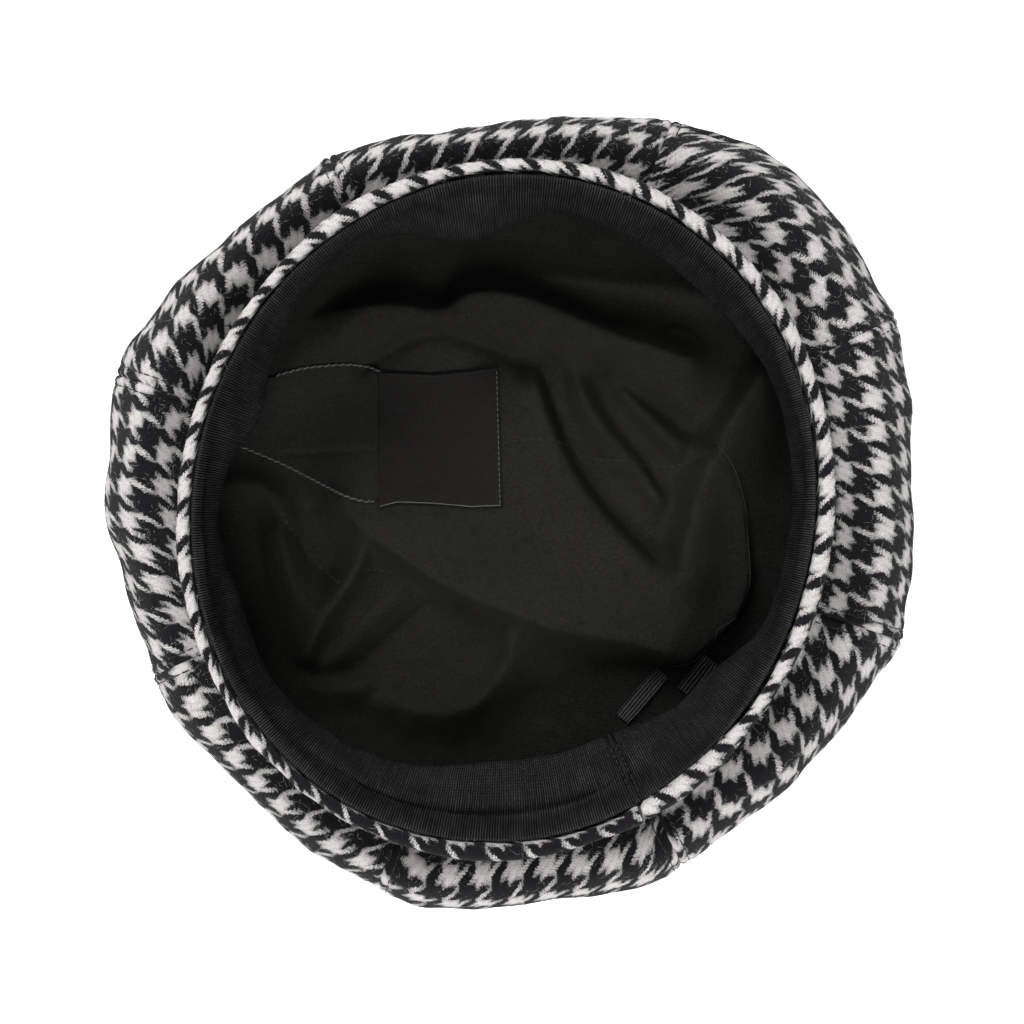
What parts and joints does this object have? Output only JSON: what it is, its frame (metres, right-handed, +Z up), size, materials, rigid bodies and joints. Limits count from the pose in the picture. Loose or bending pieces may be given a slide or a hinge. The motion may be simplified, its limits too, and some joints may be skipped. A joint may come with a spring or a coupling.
{
  "type": "eight-panel beret",
  "caption": "Soft round peakless hat of tweed panels on a headband, with a ribbed sweatband and crumpled lining, lying crown down.",
  "frame": {"origin": "middle of the hat's footprint on the surface that its crown lies on", "axes": "+Z up out of the head opening, away from the crown; +Y towards the front of the hat, with the joins of the band and the sweatband at the back; +X to the right"},
  "size_m": [0.2394, 0.2347, 0.07],
  "materials": {
    "tweed": "brushed lambswool in a black and off-white houndstooth twill, slightly hairy",
    "webbing": "matte black ribbed stretch tape",
    "lining": "black cotton twill, matte with a faint sheen on the folds",
    "label": "black woven satin, left bare",
    "tape": "charcoal ribbed tape"
  },
  "bodies": {
    "root": {"crown_panel_1": "tweed", "crown_panel_2": "tweed", "crown_panel_3": "tweed", "crown_panel_4": "tweed", "crown_panel_5": "tweed", "crown_panel_6": "tweed", "crown_panel_7": "tweed", "crown_panel_8": "tweed", "headband": "tweed", "sweatband": "webbing", "lining": "lining", "label_stay": "lining", "label": "label", "stay_tape_1": "tape", "stay_tape_2": "tape"}
  },
  "joints": []
}
